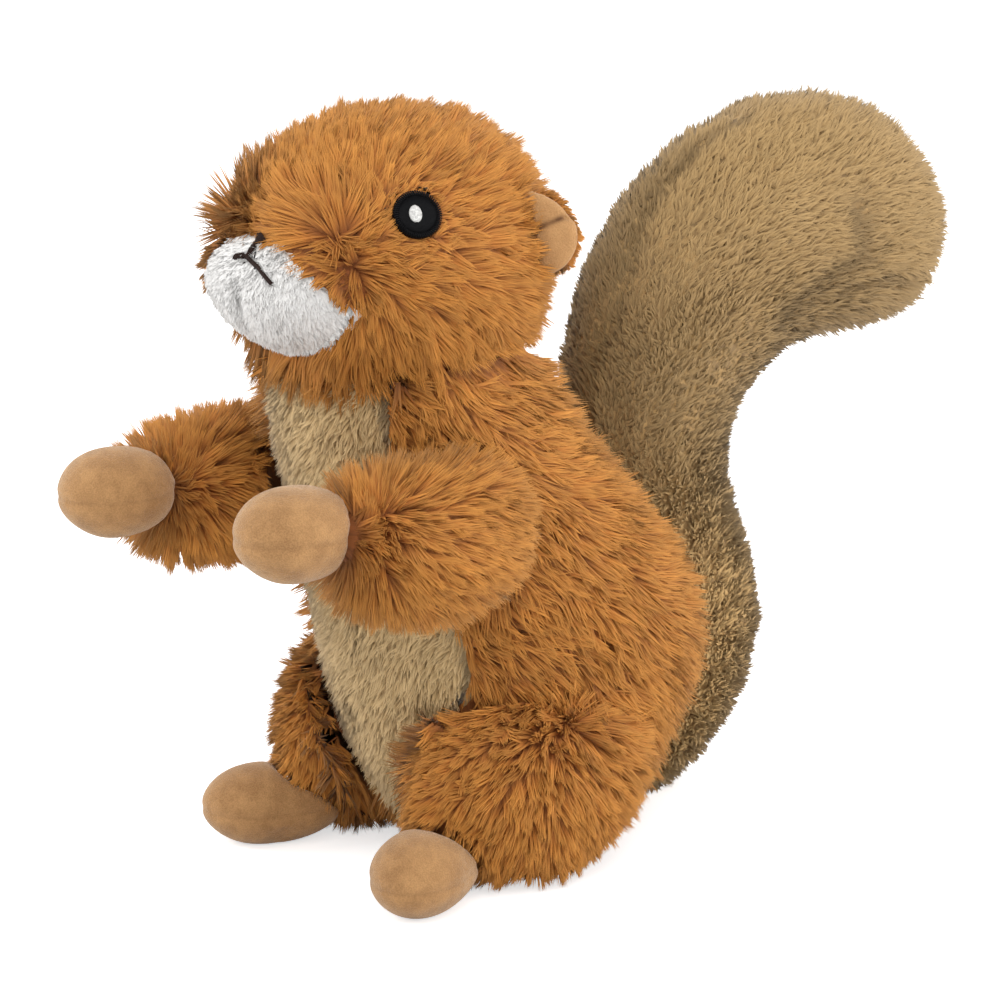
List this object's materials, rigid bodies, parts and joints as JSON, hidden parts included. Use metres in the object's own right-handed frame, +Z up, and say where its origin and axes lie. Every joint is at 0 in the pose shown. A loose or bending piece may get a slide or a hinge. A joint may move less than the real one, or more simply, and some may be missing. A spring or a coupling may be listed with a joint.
{
  "type": "plush squirrel",
  "caption": "Sitting stuffed plush squirrel with its arms held out, a furry belly panel, embroidered eyes and mouth, and a thick tail that curls back.",
  "frame": {"origin": "under the middle of the whole toy, on the surface that it sits on", "axes": "+Z up; the squirrel looks along -Y, and its own left is +X"},
  "size_m": [0.1512, 0.3346, 0.2443],
  "materials": {
    "orange_fur": "long tousled polyester plush",
    "beige_fur": "short polyester plush",
    "taupe_fur": "short polyester plush",
    "white_plush": "short soft plush",
    "tan_cloth": "velour with a short nap",
    "black_thread": "satin-stitched embroidery",
    "white_thread": "satin-stitched embroidery",
    "brown_thread": "satin-stitched embroidery"
  },
  "bodies": {
    "root": {"head": "orange_fur", "ear_left": "orange_fur", "ear_right": "orange_fur", "torso": "orange_fur", "arm_left": "orange_fur", "arm_right": "orange_fur", "thigh_left": "orange_fur", "thigh_right": "orange_fur", "belly_panel": "beige_fur", "tail": "taupe_fur", "muzzle": "white_plush", "ear_lining_left": "tan_cloth", "ear_lining_right": "tan_cloth", "paw_left": "tan_cloth", "paw_right": "tan_cloth", "foot_left": "tan_cloth", "foot_right": "tan_cloth", "eye_left": "black_thread", "eye_right": "black_thread", "eye_glint_left": "white_thread", "eye_glint_right": "white_thread", "nose_and_mouth_stitching": "brown_thread"}
  },
  "joints": []
}
